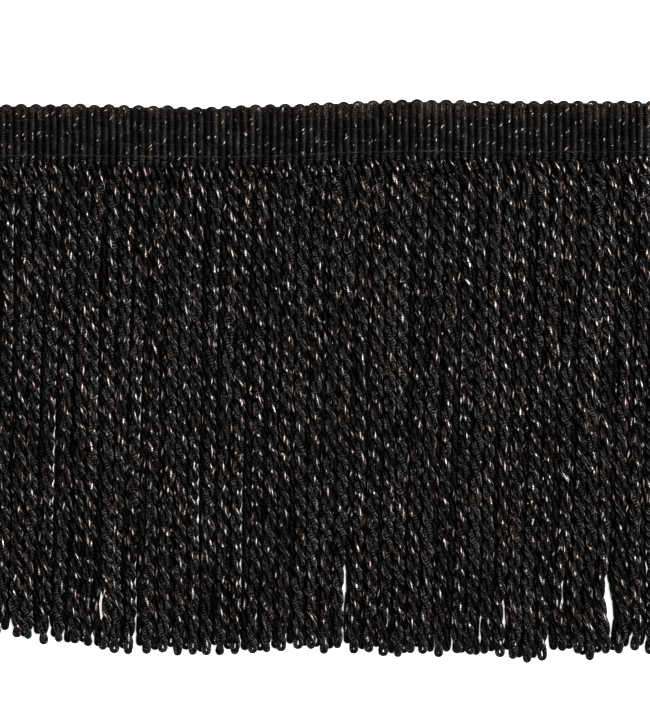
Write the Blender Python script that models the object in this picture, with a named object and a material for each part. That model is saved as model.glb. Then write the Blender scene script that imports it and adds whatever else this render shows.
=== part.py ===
"""A cut length of bullion fringe, lying on its back.

A woven heading carries two rows of twisted cords, one set half a step beside
the other. X runs along the heading, +Y points from the cords' ends to the
scalloped top edge, and Z = 0 is the surface that the fringe lies on. Lengths
in the tables are in millimetres.
"""
import math
import random

import bmesh
import bpy

MM = 0.001

# The weft runs up one rib, over a scallop and down the next, and two ribs of
# neighbouring scallops twist together into each cord
RIB_PITCH = 2.0
RIB_COUNT = 96
COLUMNS_PER_RIB = 4
CORD_PITCH = 2 * RIB_PITCH
CUT_LENGTH = RIB_COUNT * RIB_PITCH

# The heading
HEADING_DEPTH = 14.6
HEADING_THICKNESS = 2.4
RIB_RELIEF = 0.45
SCALLOP_RISE = 1.4
EDGE_HEIGHT = 1.0
EDGE_ROUNDING = 0.6
STITCH_LINE = 1.1
STITCH_SPREAD = 0.9
STITCH_RELIEF = 0.35

# The root strips, one over the other below the heading
CLEARANCE = 0.3
STRIP_DEPTH = 1.5
STRIP_THICKNESS = (HEADING_THICKNESS - CLEARANCE) / 2
ROOT_WIDTH = 2.5

# The cords: ropes of two plies, four-sided here at their mean width
ROPE_DIAMETER = 3.0
CORD_WIDTH = 2.6
CORD_HEIGHT = 2.6
STRAIGHT_SEGMENTS = 9
SHORTENING = 1.35

# How each cord wanders by itself, and how they all sway together
WANDER_LEAST = 0.11
WANDER_MOST = 0.28
WAVE_SHORTEST = 55
WAVE_LONGEST = 95
SWAY = 0.8
SWAY_ACROSS = 17
SWAY_ALONG = 60
SHORTNESS_POWER = 1.6

# Top line of the scallops, bowed as the trim lies
TOP_LINE = (
    {"x": -96, "y": 75.3},
    {"x": -75, "y": 75.4},
    {"x": -48, "y": 75.1},
    {"x": -34, "y": 74.9},
    {"x": -20, "y": 75.2},
    {"x": 7, "y": 76.2},
    {"x": 20, "y": 76.6},
    {"x": 48, "y": 76.3},
    {"x": 96, "y": 76.4},
)

# The line that the longest cord ends reach
HEM_LINE = (
    {"x": -96, "y": -70.0},
    {"x": -86, "y": -70.4},
    {"x": -67, "y": -72.6},
    {"x": -48, "y": -74.5},
    {"x": 2, "y": -74.0},
    {"x": 27, "y": -75.1},
    {"x": 48, "y": -75.4},
    {"x": 54, "y": -76.7},
    {"x": 60, "y": -76.0},
    {"x": 66, "y": -74.0},
    {"x": 72, "y": -75.8},
    {"x": 78, "y": -74.0},
    {"x": 96, "y": -74.2},
)

# Where neighbouring cords part and the surface shows between them: the middle,
# half the length, the opening and the sideways lean of each gap
PARTINGS = (
    {"x": -85, "y": -64, "half": 22, "open": 1.3, "lean": -0.02},
    {"x": -61, "y": -61, "half": 20, "open": 1.6, "lean": 0.03},
    {"x": 5, "y": -54, "half": 26, "open": 1.1, "lean": 0.00},
    {"x": 17, "y": -68, "half": 18, "open": 1.2, "lean": 0.00},
    {"x": 49, "y": -64, "half": 24, "open": 1.3, "lean": 0.02},
    {"x": 65, "y": -57, "half": 22, "open": 1.1, "lean": 0.00},
    {"x": 77, "y": -61, "half": 28, "open": 2.2, "lean": 0.10},
    {"x": 87, "y": -53, "half": 24, "open": 1.3, "lean": 0.03},
)
PARTING_REACH = 10.0

# The two rows of cords: how many, how far the first is from the cut end, how
# high the strip and the cords lie, and by how much the cords may end short of
# the hem line
ROWS = (
    {"name": "front_cords", "count": 47, "first": 2 * RIB_PITCH,
     "strip": STRIP_THICKNESS + CLEARANCE, "rest": CORD_HEIGHT + CLEARANCE,
     "least": 0.0, "most": 1.6, "seed": 100},
    {"name": "back_cords", "count": 48, "first": RIB_PITCH,
     "strip": 0.0, "rest": 0.0,
     "least": 0.6, "most": 3.4, "seed": 500},
)

# How a cord grows from its root in the strip to its full section
SETTLING = (
    {"along": 4.0, "share": 0.6},
    {"along": 9.0, "share": 1.0},
)

# How it rounds off at the loop where its plies turn back
LOOP_END = (
    {"left": 2.4, "taper": 1.0},
    {"left": 0.7, "taper": 0.86},
    {"left": 0.0, "taper": 0.45},
)


def clear_scene():
    for old in list(bpy.data.objects):
        bpy.data.objects.remove(old, do_unlink=True)


def between(table, x):
    """The height of a tabled line at x, eased from row to row."""
    if x <= table[0]["x"]:
        return table[0]["y"]
    for low, high in zip(table, table[1:]):
        if x <= high["x"]:
            share = (x - low["x"]) / (high["x"] - low["x"])
            eased = (1 - math.cos(math.pi * share)) / 2
            return low["y"] + (high["y"] - low["y"]) * eased
    return table[-1]["y"]


def root_line(x):
    """Where the cords leave their strip."""
    return between(TOP_LINE, x) - HEADING_DEPTH - CLEARANCE - STRIP_DEPTH


def yarn_material(name, colour, roughness):
    material = bpy.data.materials.new(name)
    material.use_nodes = True
    shader = material.node_tree.nodes["Principled BSDF"]
    shader.inputs["Base Color"].default_value = (*colour, 1)
    shader.inputs["Roughness"].default_value = roughness
    shader.inputs["Metallic"].default_value = 0
    material.diffuse_color = (*colour, 1)
    return material


def finish_piece(name, body, material, collection):
    """Turns a built body into a named object with outward faces."""
    bmesh.ops.scale(body, vec=(MM, MM, MM), verts=body.verts)
    bmesh.ops.recalc_face_normals(body, faces=body.faces)
    mesh = bpy.data.meshes.new(name)
    body.to_mesh(mesh)
    body.free()
    mesh.materials.append(material)
    piece = bpy.data.objects.new(name, mesh)
    collection.objects.link(piece)
    return piece


def heading_section(column):
    """The heading cut across at one column: seven points around it."""
    x = column * RIB_PITCH / COLUMNS_PER_RIB - CUT_LENGTH / 2
    bulge = math.sin(math.pi * (column % COLUMNS_PER_RIB) / COLUMNS_PER_RIB)
    crest = HEADING_THICKNESS - RIB_RELIEF * (1 - bulge)
    top = between(TOP_LINE, x)
    low = top - HEADING_DEPTH
    across = (x + CUT_LENGTH / 2) % CORD_PITCH / CORD_PITCH
    edge = top - SCALLOP_RISE * (1 - math.sqrt(max(0, math.sin(math.pi * across))))
    shoulder = top - SCALLOP_RISE - EDGE_ROUNDING
    stitches = low + STITCH_LINE
    return [
        (x, low, 0),
        (x, edge - EDGE_ROUNDING, 0),
        (x, edge, EDGE_HEIGHT),
        (x, shoulder, crest),
        (x, stitches + STITCH_SPREAD, crest),
        (x, stitches, crest - STITCH_RELIEF),
        (x, low, crest - STITCH_RELIEF),
    ]


def make_heading(material, collection):
    """The woven band: ribs and scallops lofted from section to section."""
    body = bmesh.new()
    sections = [
        [body.verts.new(point) for point in heading_section(column)]
        for column in range(RIB_COUNT * COLUMNS_PER_RIB + 1)
    ]
    for here, there in zip(sections, sections[1:]):
        for corner in range(len(here)):
            following = (corner + 1) % len(here)
            body.faces.new(
                (here[corner], here[following], there[following], there[corner])
            )
    body.faces.new(sections[0])
    body.faces.new(reversed(sections[-1]))
    return finish_piece("heading", body, material, collection)


def parting_push(x, y):
    """How far the partings push a cord that starts at x, at height y."""
    overlap = ROPE_DIAMETER - RIB_PITCH
    push = 0
    for parting in PARTINGS:
        away = (y - parting["y"]) / parting["half"]
        if abs(away) >= 1:
            continue
        strength = math.cos(math.pi * away / 2) ** 2
        side = math.copysign(1, x - parting["x"])
        fade = math.exp(-abs(x - parting["x"]) / PARTING_REACH)
        push += side * (parting["open"] + overlap) / 2 * strength * fade
        push += parting["lean"] * (parting["y"] - y) * strength * fade
    return push


def cord_habits(row, index):
    """What is particular to one cord, drawn from its own seed."""
    draw = random.Random(row["seed"] + index)
    return {
        "phase": draw.uniform(0, 2 * math.pi),
        "wave": draw.uniform(WAVE_SHORTEST, WAVE_LONGEST),
        "swing": draw.uniform(WANDER_LEAST, WANDER_MOST),
        "short": draw.uniform(0, 1) ** SHORTNESS_POWER,
    }


def root_place(row, index):
    """Where along the heading one cord of a row starts."""
    return row["first"] + index * CORD_PITCH - CUT_LENGTH / 2


def cord_line(row, index):
    """The course of one cord of a row, seen from above, and its length."""
    root_x = root_place(row, index)
    root_y = root_line(root_x)
    habits = cord_habits(row, index)
    short = row["least"] + (row["most"] - row["least"]) * habits["short"]
    length = root_y - between(HEM_LINE, root_x) - short

    def course(along):
        share = along / length
        turn = 2 * math.pi * along / habits["wave"] + habits["phase"]
        wander = habits["swing"] * math.sin(turn) * math.sqrt(share)
        sway = SWAY * math.sin(root_x / SWAY_ACROSS + along / SWAY_ALONG) * share
        y = root_y - along
        return root_x + wander + sway + parting_push(root_x, y), y

    return course, length


def cord_stations(length):
    """Distances along a cord, closer towards its end, with its section there."""
    settled = SETTLING[-1]["along"]
    straight = length - settled - LOOP_END[0]["left"]
    stations = [(step["along"], step["share"], 1.0) for step in SETTLING]
    for part in range(1, STRAIGHT_SEGMENTS):
        left = 1 - part / STRAIGHT_SEGMENTS
        stations.append((settled + straight * (1 - left ** SHORTENING), 1.0, 1.0))
    stations += [(length - step["left"], 1.0, step["taper"]) for step in LOOP_END]
    return stations


def root_strip(row, edges):
    """The narrow strip of stitched roots, divided at each cord's sides."""
    body = bmesh.new()
    bmesh.ops.create_cube(body, size=1)
    bmesh.ops.scale(
        body, vec=(CUT_LENGTH, STRIP_DEPTH, STRIP_THICKNESS), verts=body.verts
    )
    middle = row["strip"] + STRIP_THICKNESS / 2
    bmesh.ops.translate(body, vec=(0, STRIP_DEPTH / 2, middle), verts=body.verts)
    for edge in edges:
        everything = body.verts[:] + body.edges[:] + body.faces[:]
        bmesh.ops.bisect_plane(
            body, geom=everything, plane_co=(edge, 0, 0), plane_no=(1, 0, 0)
        )
    for point in body.verts:
        point.co.y += root_line(point.co.x)
    return body


def draw_out_cord(body, face, row, index):
    """Extrudes one cord from its root face, station by station."""
    course, length = cord_line(row, index)
    centre = face.calc_center_median()
    for along, share, taper in cord_stations(length):
        drawn = bmesh.ops.extrude_discrete_faces(body, faces=[face])
        face = drawn["faces"][0]
        x, y = course(along)
        half = (ROOT_WIDTH + (CORD_WIDTH - ROOT_WIDTH) * share) / 2 * taper
        low = row["strip"] + (row["rest"] - row["strip"]) * share
        high = low + STRIP_THICKNESS + (CORD_HEIGHT - STRIP_THICKNESS) * share
        middle = (low + high) / 2
        rise = (high - low) / 2 * taper
        corners = [
            (
                x + math.copysign(half, corner.co.x - centre.x),
                y,
                middle + math.copysign(rise, corner.co.z - centre.z),
            )
            for corner in face.verts
        ]
        for corner, place in zip(face.verts, corners):
            corner.co = place
        centre = face.calc_center_median()


def make_cord_row(row, material, collection):
    """One row of cords standing apart, fused at their roots into the strip."""
    roots = [root_place(row, index) for index in range(row["count"])]
    edges = [root + side * ROOT_WIDTH / 2 for root in roots for side in (-1, 1)]
    body = root_strip(row, edges)
    outward = [face for face in body.faces if face.normal.y < -0.5]
    root_faces = [
        min(outward, key=lambda face: abs(face.calc_center_median().x - root))
        for root in roots
    ]
    for index, face in enumerate(root_faces):
        draw_out_cord(body, face, row, index)
    return finish_piece(row["name"], body, material, collection)


def build():
    clear_scene()
    fringe = bpy.data.collections.new("bullion_fringe")
    bpy.context.scene.collection.children.link(fringe)
    heading_yarn = yarn_material("heading_yarn", (0.012, 0.011, 0.011), 0.5)
    cord_yarn = yarn_material("cord_yarn", (0.016, 0.014, 0.014), 0.55)
    make_heading(heading_yarn, fringe)
    for row in ROWS:
        make_cord_row(row, cord_yarn, fringe)


build()
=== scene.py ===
"""The looks of a cut length of black bullion fringe with copper lurex.

Lengths here are in millimetres, and MM turns them into the frame's metres. X
runs along the heading, +Y points to its scalloped edge, and the fringe lies
on the surface at Z = 0.
"""
import math
import random

import bpy
import numpy as np
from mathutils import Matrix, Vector


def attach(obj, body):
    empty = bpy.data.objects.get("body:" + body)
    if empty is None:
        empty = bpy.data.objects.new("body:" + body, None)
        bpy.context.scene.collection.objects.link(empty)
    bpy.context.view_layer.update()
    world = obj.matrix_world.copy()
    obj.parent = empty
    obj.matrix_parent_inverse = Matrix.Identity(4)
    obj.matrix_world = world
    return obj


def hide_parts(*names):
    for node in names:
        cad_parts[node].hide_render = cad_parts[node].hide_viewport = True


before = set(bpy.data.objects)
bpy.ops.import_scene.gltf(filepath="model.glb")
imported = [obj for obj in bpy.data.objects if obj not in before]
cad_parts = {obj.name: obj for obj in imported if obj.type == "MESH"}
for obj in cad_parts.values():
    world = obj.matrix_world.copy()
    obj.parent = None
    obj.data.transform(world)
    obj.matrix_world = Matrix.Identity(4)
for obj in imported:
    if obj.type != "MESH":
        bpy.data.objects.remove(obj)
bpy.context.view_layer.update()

MM = 0.001

# The camera hangs straight over the fringe with a long lens, a little to the
# left because the cords lean that way. It sees 177 mm at the height of the
# yarn's middle, a little less than the length that is cut.
PHOTO_WIDTH = 650
MM_PER_PIXEL = 0.2725
SENSOR_WIDTH = 36.0
LENS = 110.0
NEAREST = 10.0
YARN_MIDDLE = 2.5
VIEW_MIDDLE_X = -3.1
VIEW_MIDDLE_Y = 5.72

camera_lens = bpy.data.cameras.new("camera")
camera_lens.lens = LENS
camera_lens.sensor_fit = "HORIZONTAL"
camera_lens.sensor_width = SENSOR_WIDTH
camera_lens.clip_start = NEAREST * MM
camera = bpy.data.objects.new("camera", camera_lens)
camera_height = YARN_MIDDLE + PHOTO_WIDTH * MM_PER_PIXEL * LENS / SENSOR_WIDTH
camera.location = (VIEW_MIDDLE_X * MM, VIEW_MIDDLE_Y * MM, camera_height * MM)
bpy.context.scene.collection.objects.link(camera)
bpy.context.scene.camera = camera
bpy.context.scene.view_settings.view_transform = "Standard"


# The heading's weft is a thick black yarn, a core closely wrapped in satin
# filament. It goes up one rib, turns over the edge in a scallop and comes
# down the next rib. Two such wefts lie one on the other, a rib apart.
RIB_PITCH = 2.0
RIB_COUNT = 96
CORD_PITCH = 2 * RIB_PITCH
CUT_LENGTH = RIB_COUNT * RIB_PITCH
HEADING_DEPTH = 14.6
RIB_HALF_WIDTH = 0.97
RIB_HALF_HEIGHT = 0.62
TURN_HALF_WIDTH = 0.95
TURN_HALF_HEIGHT = 0.74
TURN_RADIUS = RIB_PITCH / 2
TURN_BLEND = 1.6
TURN_RINGS = 11
SCALLOP_FLUFF = 0.55
RIB_SIDES = 12
STITCH_ROWS = (3.9, 7.1, 10.3, 13.6)
STITCH_PINCH = 0.13
PINCH_REACH = 0.45
RINGS_BY_STITCH = (-0.9, -0.35, 0.0, 0.35, 0.9)
RINGS_ABOVE = 6
WEFTS = (
    {"name": "front", "z": 1.74, "first": 0, "drop": 0.0, "seed": 11},
    {"name": "back", "z": 0.66, "first": 1, "drop": 0.6, "seed": 12},
)
TOP_LINE = (
    {"x": -96, "y": 75.3},
    {"x": -75, "y": 75.4},
    {"x": -48, "y": 75.1},
    {"x": -34, "y": 74.9},
    {"x": -20, "y": 75.2},
    {"x": 7, "y": 76.2},
    {"x": 20, "y": 76.6},
    {"x": 48, "y": 76.3},
    {"x": 96, "y": 76.4},
)
FLAT_SCALLOPS = {"x": -39, "half": 11, "sink": 0.6}
SINK_SHARES = (0.3, 1.2)
SCALLOP_UNEVEN = 0.15
TURN_SPREADS = (0.97, 1.05)
RIB_WANDER = 0.06
RIB_WANDER_WAVES = (0.4, 0.9)
RIB_RISE = 0.04
RIB_RISE_WAVE = 0.7
ANY_PHASE = (0, 6)
FLOOR_CLEARANCE = 0.09
UPWARD = (0.0, 0.0, 1.0)

# The yarn's noises have a scale per metre and a detail. The ranges say where
# a noise, or another share from 0 to 1, starts to count and counts in full.
YARN_NOISE = {
    "patches": (300.0, 1.0), "wobble": (1100.0, 0.0), "tufts": (1700.0, 2.0), "fibres": (4500.0, 1.0),
    "streaks": (260.0, 1.0), "waver": (90.0, 1.0), "uneven": (420.0, 1.0), "stretches": (190.0, 1.0),
    "copper": (230.0, 1.0),
}
YARN_RANGES = {
    "patches": (0.36, 0.58), "painted_flank_light": (0.45, 0.95), "tufts": (0.40, 0.60), "streaks": (0.38, 0.66),
    "arcs": (0.3, 0.95), "ridges": (0.7, 1.0), "edge": (0.02, 0.10), "tilted": (0.55, 0.92),
    "faces": (0.35, 0.5), "stretches": (0.39, 0.49), "fibres": (0.3, 0.6), "copper": (0.47, 0.63),
    "whole": (0.3, 0.7),
}
STREAK_STRETCH = (1, 0.15, 1)
STREAK_LEAST = 0.3
COPPER_STRETCH = (1, 0.6, 1)
WRAP_PITCH = 0.66
WRAP_DEPTH = 0.10
WRAP_WOBBLE = 0.6
WRAP_WAVER = 4.0
FIBRE_DEPTH = 0.04
CREST_TURN = 0.25
OUTER_EDGE = 0.84
YARN_SPECULAR = 0.05
YARN_ROUGHNESS = (0.3, 0.45)
# The colour under full painted shade: in the wraps' grooves, between the layers and on flanks turned
# away.
PAINTED_SHADE_BLACK = (0.0002, 0.0002, 0.0002, 1)
RIB_BLACK = (0.047, 0.046, 0.045, 1)
# The layers' middle and reach, the painted shade at their middle, and how far it is lifted near the
# roots.
RIB_LAYERS = {"middle": 1.2, "reach": 1.1, "painted_deep_shade": 0.5, "root": 0.0}
RIB_WRAPPING = (0.25, 0.8)
# The ribs' painted light and shade: a thin painted highlight leaning right, painted light on the
# flanks leaning left, and a faint painted sheen at the edges.
RIB_SHINE = {
    "lean": 0.15, "from": 0.974, "full": 1.0, "painted_flank_light": 0.13, "flank_lean": -0.5,
    "hollow": 0.32, "smooth": 1.0, "edge": 0.2, "near_top": 0.9, "tufts": 0.08, "uneven": 0.06,
}
SCALLOP_BROWN = (0.118, 0.089, 0.074, 1)
NEAR_TOP_HEIGHTS = (69.5, 75.8)
ARC_LINES = 6
ARC_DEPTH = 0.9
ARC_WOBBLE = 0.5
ROOT_HEIGHTS = (55.5, 60.0)
# The pale grey of the painted sheen along the yarn's side edges.
PAINTED_SHEEN_GREY = (0.44, 0.42, 0.405, 1)
BROWNING = (1.17, 1.0, 0.92, 1)


class Dye:
    """A socket of a yarn's shader. Sums on it add the Math nodes."""

    def __init__(self, tree, socket=None):
        self.tree = tree
        self.socket = socket

    def node(self, kind, settings, sockets, output=0):
        made = self.tree.nodes.new(kind)
        for name, value in settings.items():
            setattr(made, name, value)
        for name, value in sockets.items():
            if isinstance(value, Dye):
                self.tree.links.new(value.socket, made.inputs[name])
            else:
                made.inputs[name].default_value = value
        return Dye(self.tree, made.outputs[output])

    def sum(self, operation, first, second=0.0):
        return self.node("ShaderNodeMath", {"operation": operation}, {0: first, 1: second})

    def __add__(self, other):
        return self.sum("ADD", self, other)

    __radd__ = __add__

    def __sub__(self, other):
        return self.sum("SUBTRACT", self, other)

    def __rsub__(self, other):
        return self.sum("SUBTRACT", other, self)

    def __mul__(self, other):
        return self.sum("MULTIPLY", self, other)

    __rmul__ = __mul__

    def __truediv__(self, other):
        return self.sum("DIVIDE", self, other)

    def size(self):
        """The value without its sign."""
        return self.sum("ABSOLUTE", self)

    def at_least(self, other):
        """The larger of the two."""
        return self.sum("MAXIMUM", self, other)

    def ridges(self):
        """0 at each whole number and 1 halfway to the next, rounded on top."""
        return self.sum("SINE", self * math.pi).size()

    def eased(self, low, high, to_low=0.0, to_high=1.0):
        """Rises smoothly from to_low to to_high between low and high."""
        return self.node(
            "ShaderNodeMapRange",
            {"interpolation_type": "SMOOTHSTEP"},
            {0: self, 1: low, 2: high, 3: to_low, 4: to_high},
        )

    def noise(self, scale, detail=1.0):
        """Noise from 0 to 1 at a place in the frame's metres."""
        sockets = {"Vector": self, "Scale": scale, "Detail": detail}
        return self.node("ShaderNodeTexNoise", {}, sockets)

    def mixed(self, first, second):
        """Two colours mixed by this share."""
        sockets = {0: self, 6: first, 7: second}
        return self.node("ShaderNodeMix", {"data_type": "RGBA"}, sockets, 2)

    def roughness(self, least, most):
        """A roughness from the least to the most, by this noise."""
        return self.eased(*YARN_RANGES["whole"], least, most)

    def coppered(self):
        """Where along the yarn the copper lies thick, at a place."""
        stretched = self.scaled(COPPER_STRETCH)
        return stretched.noise(*YARN_NOISE["copper"]).eased(*YARN_RANGES["copper"])

    def raised(self, depth):
        """The normal over this height, which is in units of depth."""
        return self.node("ShaderNodeBump", {}, {"Distance": depth, "Height": self})

    def place(self):
        return self.node("ShaderNodeNewGeometry", {}, {})

    def scaled(self, factors):
        return self.node("ShaderNodeVectorMath", {"operation": "MULTIPLY"}, {0: self, 1: factors})

    def facing(self, lean):
        """How far the surface faces out of the fringe's plane, on either
        side, or a little aside from that: a lean above 0 is to the right."""
        normal = self.node("ShaderNodeNewGeometry", {}, {}, 1)
        sockets = {0: normal, 1: Vector((lean, 0, 1)).normalized()}
        return self.node("ShaderNodeVectorMath", {"operation": "DOT_PRODUCT"}, sockets, 1).size()

    def part(self, index):
        """One coordinate of a place."""
        return self.node("ShaderNodeSeparateXYZ", {}, {0: self}, index)

    def from_middle(self, layers):
        """How far a place is from the middle of the layers, 1 at a face."""
        return (self.part(2) / MM - layers["middle"]).size() / layers["reach"]

    def lay(self):
        """The distance along the yarn in millimetres and the turn round it."""
        both = self.node("ShaderNodeUVMap", {"uv_map": "lay"}, {})
        return both.part(0), both.part(1)


def new_dye(name, specular):
    """A material, its Principled shader and an empty Dye to start from."""
    material = bpy.data.materials.new(name)
    material.use_nodes = True
    shader = material.node_tree.nodes["Principled BSDF"]
    shader.inputs["Specular IOR Level"].default_value = specular
    return material, shader, Dye(material.node_tree)


def soak(shader, sockets):
    """Links or sets the Principled shader's sockets."""
    for name, value in sockets.items():
        if isinstance(value, Dye):
            value.tree.links.new(value.socket, shader.inputs[name])
        else:
            shader.inputs[name].default_value = value


def satin_black(name, crest, wrapping, layers, shine):
    """Black filament wound round the yarn: each wrap is a fine satin ridge,
    rounded on top, with a groove before the next, and the colour holds a
    painted highlight on each crest and painted shade in each groove. Where
    the filament lies slack the wraps show less: wrapping holds the least and
    the most. Between the layers it is too close for light, so painted shade
    darkens the yarn away from their faces. Light and shade are also painted
    by how the surface faces: a thin painted highlight where it faces up,
    leaning to the right, painted light on the flanks and painted shade where
    they turn away, lifted near the scallops. Along the yarn's outer edge,
    where it turns to the side, a thin painted sheen lies in pale grey
    stretches. The scallops are brown, with fine arcs round each turn, and the
    yarn is a little browner where the copper lies thick."""
    material, shader, dye = new_dye(name, YARN_SPECULAR)
    along, turn = dye.lay()
    place = dye.place()
    patches = place.noise(*YARN_NOISE["patches"])
    wobble = place.noise(*YARN_NOISE["wobble"])
    tufts = place.noise(*YARN_NOISE["tufts"])
    fibres = place.noise(*YARN_NOISE["fibres"])
    streaks = place.scaled(STREAK_STRETCH).noise(*YARN_NOISE["streaks"])
    winding = along / WRAP_PITCH - turn + wobble * WRAP_WOBBLE
    winding = winding + place.noise(*YARN_NOISE["waver"]) * WRAP_WAVER
    wraps = winding.ridges()
    wrapped = patches.eased(*YARN_RANGES["patches"], *wrapping)

    up_cloth = place.part(1) / MM
    near_top = up_cloth.eased(*NEAR_TOP_HEIGHTS)
    # Painted shade: the yarn darkens away from the faces of the layers, lifted near the cords' roots.
    near_face = place.from_middle(layers)
    clear_of_shade = near_face.at_least(up_cloth.eased(*ROOT_HEIGHTS) * layers["root"])
    depth = clear_of_shade.eased(0, 1, layers["painted_deep_shade"], 1.0)
    # Light and shade painted by how the surface faces: a thin painted highlight where it faces up,
    # leaning right, painted light on the flanks and painted shade where they turn away, lifted near
    # the scallops.
    uneven = (place.noise(*YARN_NOISE["uneven"]) - 0.5) * shine["uneven"]
    painted_highlight = dye.facing(shine["lean"]) + uneven
    painted_highlight = painted_highlight.eased(shine["from"], shine["full"], 0.0, 1.0 - shine["painted_flank_light"])
    painted_flank_light = dye.facing(shine["flank_lean"])
    painted_flank_light = painted_flank_light.eased(*YARN_RANGES["painted_flank_light"], shine["hollow"], shine["painted_flank_light"])
    painted_light_and_shade = (painted_highlight + painted_flank_light).at_least(near_top * shine["near_top"])
    tone = tufts.eased(*YARN_RANGES["tufts"], shine["tufts"], 1.0)
    tone = tone * streaks.eased(*YARN_RANGES["streaks"], STREAK_LEAST, 1.0)
    arcs = (turn * ARC_LINES + wobble * ARC_WOBBLE).ridges()
    combed = 1 - (1 - arcs.eased(*YARN_RANGES["arcs"])) * near_top * ARC_DEPTH
    # Painted highlights on the wraps' crests and painted shade in their grooves.
    filament = shine["smooth"] + (wraps.eased(*YARN_RANGES["ridges"]) - shine["smooth"]) * wrapped
    lit = filament * depth * painted_light_and_shade * tone * combed

    # A thin painted sheen, pale grey, along the yarn's side edge, in stretches.
    outer = dye.sum("COSINE", (turn - CREST_TURN) * (2 * math.pi))
    edge = 1 - (outer - OUTER_EDGE).size().eased(*YARN_RANGES["edge"])
    tilted = 1 - dye.facing(0).eased(*YARN_RANGES["tilted"])
    painted_sheen = edge * tilted * near_face.eased(*YARN_RANGES["faces"])
    painted_sheen = painted_sheen * place.noise(*YARN_NOISE["stretches"]).eased(*YARN_RANGES["stretches"])
    painted_sheen = painted_sheen * fibres.eased(*YARN_RANGES["fibres"]) * shine["edge"]

    browner = [part * tint for part, tint in zip(crest, BROWNING)]
    dyed = near_top.mixed(place.coppered().mixed(crest, browner), SCALLOP_BROWN)
    relief = wraps * wrapped * WRAP_DEPTH + fibres * FIBRE_DEPTH
    soak(shader, {
        "Base Color": painted_sheen.mixed(lit.mixed(PAINTED_SHADE_BLACK, dyed), PAINTED_SHEEN_GREY),
        "Roughness": fibres.roughness(*YARN_ROUGHNESS),
        "Normal": relief.raised(MM),
    })
    return material


def unit(vectors):
    return vectors / np.linalg.norm(vectors, axis=-1, keepdims=True)


def distances(path):
    """How far along its path each ring lies."""
    steps = np.linalg.norm(np.diff(path, axis=-2), axis=-1)
    start = np.zeros(steps.shape[:-1] + (1,))
    return np.concatenate([start, np.cumsum(steps, axis=-1)], -1)


def rings_round(path, outward, half_out, half_across, sides):
    """Oval rings round paths. A path's points and its outward directions are
    the last axes but one, so that many paths of a length go through at once."""
    ahead = unit(np.gradient(path, axis=-2))
    outward = np.broadcast_to(outward, path.shape)
    outward = unit(outward - (outward * ahead).sum(-1, keepdims=True) * ahead)
    across = np.cross(outward, ahead)
    turn = 2 * math.pi * np.arange(sides) / sides
    wide = np.cos(turn) * half_across[..., None]
    high = np.sin(turn) * half_out[..., None]
    return (
        path[..., None, :]
        + wide[..., None] * across[..., None, :]
        + high[..., None] * outward[..., None, :]
    )


class Skein:
    """Gathers the closed tubes of one piece and makes its mesh."""

    def __init__(self):
        self.points = []
        self.faces = []
        self.lay = []
        self.count = 0

    def add(self, rings, along):
        """Adds tubes from an array of tubes, rings, sides and coordinates."""
        tubes, count, sides = rings.shape[:3]
        corner = np.arange(sides)
        following = (corner + 1) % sides
        ring = np.arange(tubes * count).reshape(tubes, count) * sides + self.count
        near = ring[:, :-1, None]
        far = ring[:, 1:, None]
        corners = [near + corner, near + following, far + following, far + corner]
        self.faces += np.stack(corners, -1).reshape(-1, 4).tolist()
        self.faces += (ring[:, :1] + corner[::-1]).tolist()
        self.faces += (ring[:, -1:] + corner).tolist()
        left = np.broadcast_to(corner / sides, (tubes, count - 1, sides))
        right = left + 1 / sides
        low = np.broadcast_to(along[:, :-1, None], left.shape)
        high = np.broadcast_to(along[:, 1:, None], left.shape)
        self.lay.append(np.stack([low, left, low, right, high, right, high, left], -1).ravel())
        cap_corners = 2 * tubes * sides
        self.lay.append(np.zeros(cap_corners * 2))
        self.points.append(rings.reshape(-1, 3))
        self.count += tubes * count * sides

    def add_round(self, path, radius, sides):
        """Adds round threads of one radius."""
        half = np.full(path.shape[:-1], radius)
        self.add(rings_round(path, UPWARD, half, half, sides), distances(path))

    def piece(self, name, material, node):
        """The finished mesh, which stands for one of the frame's nodes."""
        mesh = bpy.data.meshes.new(name)
        mesh.from_pydata((np.concatenate(self.points) * MM).tolist(), [], self.faces)
        lay = mesh.uv_layers.new(name="lay")
        lay.data.foreach_set("uv", np.concatenate(self.lay).astype(np.float32))
        mesh.materials.append(material)
        mesh.shade_smooth()
        made = bpy.data.objects.new(name, mesh)
        bpy.context.scene.collection.objects.link(made)
        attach(made, "root")
        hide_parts(node)
        return made


def between(table, x):
    """The height of a tabled line at x, eased from row to row."""
    xs = np.array([row["x"] for row in table], float)
    ys = np.array([row["y"] for row in table], float)
    x = np.clip(x, xs[0], xs[-1])
    row = np.clip(np.searchsorted(xs, x, side="right") - 1, 0, len(xs) - 2)
    share = (x - xs[row]) / (xs[row + 1] - xs[row])
    eased = (1 - np.cos(math.pi * share)) / 2
    return ys[row] + (ys[row + 1] - ys[row]) * eased


def pinched(y, top):
    """How much of its height a rib keeps under the stitch rows."""
    pinch = sum(np.exp(-((top - y - row) / PINCH_REACH) ** 2) for row in STITCH_ROWS)
    return 1 - STITCH_PINCH * pinch


def rib_heights(top, turn_y):
    """Heights of a rib's rings, closer together at the lower stitch rows."""
    lower_rows = STITCH_ROWS[1:]
    by_stitch = sorted(top - row + step for row in lower_rows for step in RINGS_BY_STITCH)
    above = np.linspace(by_stitch[-1], turn_y, RINGS_ABOVE + 1)[1:]
    return np.concatenate([[top - HEADING_DEPTH], by_stitch, above])


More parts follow.
